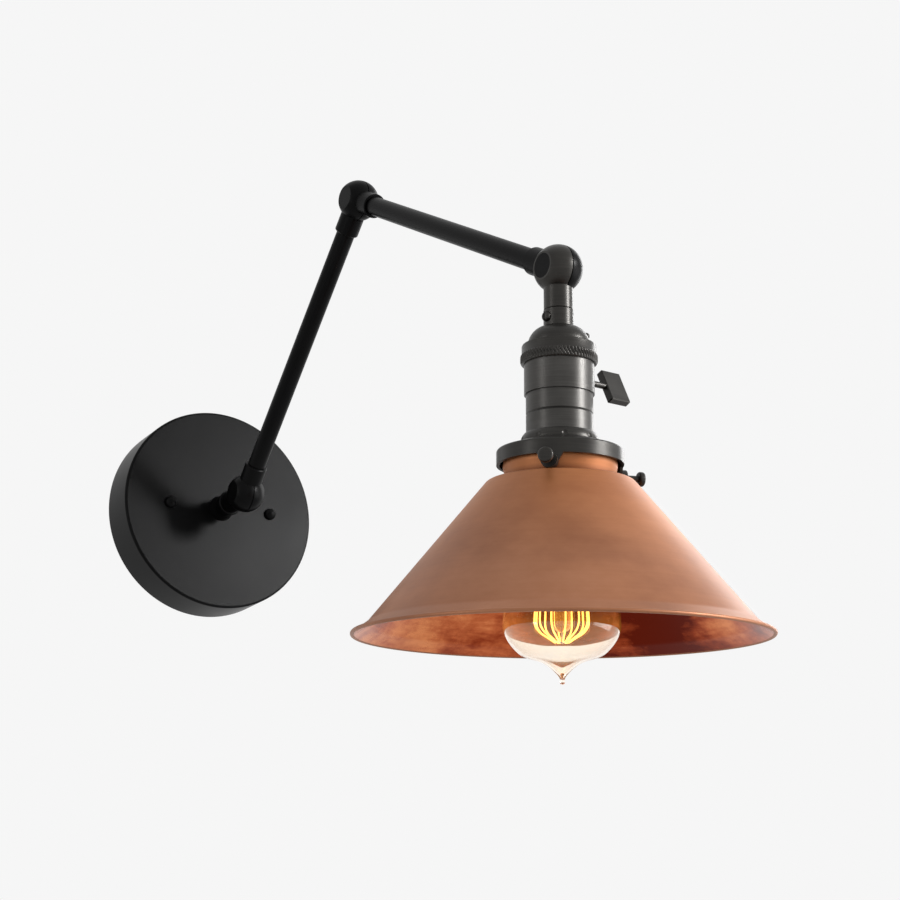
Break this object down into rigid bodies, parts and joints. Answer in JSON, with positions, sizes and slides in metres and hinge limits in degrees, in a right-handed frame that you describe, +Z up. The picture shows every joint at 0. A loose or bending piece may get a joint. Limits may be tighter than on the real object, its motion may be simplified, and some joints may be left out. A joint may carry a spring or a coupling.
{
  "type": "swing arm wall lamp",
  "caption": "Wall lamp on a jointed swing arm with split-ball swivels, a round canopy, a keyed socket, a copper cone shade and a clear filament bulb.",
  "frame": {"origin": "centre of the canopy's back rim plane, on the wall, midway between the two box screw slots", "axes": "+X to the right when facing the wall, +Y into the wall, +Z up"},
  "size_m": [0.205, 0.4977, 0.3494],
  "materials": {
    "black_paint": "satin powder coat",
    "dark_bronze": "satin dark bronze",
    "aged_copper": "aged satin copper",
    "zinc_steel": "zinc plated",
    "green_screw": "green zinc plated",
    "bare_brass": "plain brass",
    "clear_glass": "clear",
    "hot_filament": "glowing wire",
    "liner_card": "plain card",
    "switch_plastic": "moulded",
    "black_glaze": "glossy",
    "wire_insulation": "flexible insulation",
    "washer_fibre": "fibre washer"
  },
  "bodies": {
    "wall_mount": {"canopy": "black_paint", "canopy_screws": "black_paint", "box_strap": "zinc_steel", "canopy_strap": "zinc_steel", "strap_eyelet": "zinc_steel", "ground_screw": "green_screw", "stem_nipple": "zinc_steel", "stem_wires": "wire_insulation", "lock_washer": "zinc_steel", "lock_nut": "zinc_steel", "stem_collar": "black_paint", "base_swivel_wall_half": "black_paint", "base_pivot_screw": "black_paint", "base_pivot_cap": "black_paint", "base_friction_washer": "washer_fibre"},
    "lower_arm": {"base_swivel_arm_half": "black_paint", "lower_arm_tube": "black_paint", "lower_arm_wires": "wire_insulation", "elbow_swivel_lower_half": "black_paint", "elbow_pivot_screw": "black_paint", "elbow_pivot_cap": "black_paint", "elbow_friction_washer": "washer_fibre"},
    "upper_arm": {"elbow_swivel_upper_half": "black_paint", "upper_arm_tube": "black_paint", "upper_arm_wires": "wire_insulation", "head_swivel_arm_half": "black_paint", "head_pivot_screw": "black_paint", "head_pivot_cap": "black_paint", "head_friction_washer": "washer_fibre"},
    "lamp_head": {"head_swivel_lamp_half": "black_paint", "head_nipple": "zinc_steel", "head_wires": "wire_insulation", "socket_cap": "dark_bronze", "cap_set_screw": "dark_bronze", "cap_rivet": "dark_bronze", "clamp_ring": "dark_bronze", "socket_upper_shell": "dark_bronze", "socket_lower_shell": "dark_bronze", "socket_liner": "liner_card", "switch_body": "switch_plastic", "lamp_screw_shell": "bare_brass", "centre_contact": "bare_brass", "shade_holder": "dark_bronze", "shade": "aged_copper", "bulb_glass": "clear_glass", "bulb_base": "bare_brass", "bulb_insulator": "black_glaze", "bulb_contact": "bare_brass", "bulb_glass_mount": "clear_glass", "bulb_filament": "hot_filament", "filament_lower_hooks": "zinc_steel", "filament_upper_hooks": "zinc_steel"},
    "switch_key": {"switch_key": "dark_bronze"},
    "thumb_screw_1": {"thumb_screw_1": "dark_bronze"},
    "thumb_screw_2": {"thumb_screw_2": "dark_bronze"},
    "thumb_screw_3": {"thumb_screw_3": "dark_bronze"}
  },
  "joints": [
    {"name": "base_swivel", "type": "hinge", "parent": "wall_mount", "child": "lower_arm", "pos_m": [0, -0.067, 0], "axis": [-1, 0, 0], "range_deg": [-117, 33]},
    {"name": "elbow_swivel", "type": "hinge", "parent": "lower_arm", "child": "upper_arm", "pos_m": [0, -0.22875, 0.14615], "axis": [-1, 0, 0], "range_deg": [-14, 166]},
    {"name": "head_swivel", "type": "hinge", "parent": "upper_arm", "child": "lamp_head", "pos_m": [0, -0.41777, 0.01866], "axis": [-1, 0, 0], "range_deg": [-30, 150]},
    {"name": "key_turn", "type": "hinge", "parent": "lamp_head", "child": "switch_key", "pos_m": [0, -0.41116, -0.03766], "axis": [0.9981, 0.0606, 0.0071], "continuous": true},
    {"name": "thumb_screw_1_back_off", "type": "slide", "parent": "lamp_head", "child": "thumb_screw_1", "axis": [-0.7314, -0.6773, -0.0796], "range_m": [0, 0.004]},
    {"name": "thumb_screw_2_back_off", "type": "slide", "parent": "lamp_head", "child": "thumb_screw_2", "axis": [0.9563, -0.2904, -0.0341], "range_m": [0, 0.004]},
    {"name": "thumb_screw_3_back_off", "type": "slide", "parent": "lamp_head", "child": "thumb_screw_3", "axis": [-0.225, 0.9677, 0.1137], "range_m": [0, 0.004]}
  ]
}
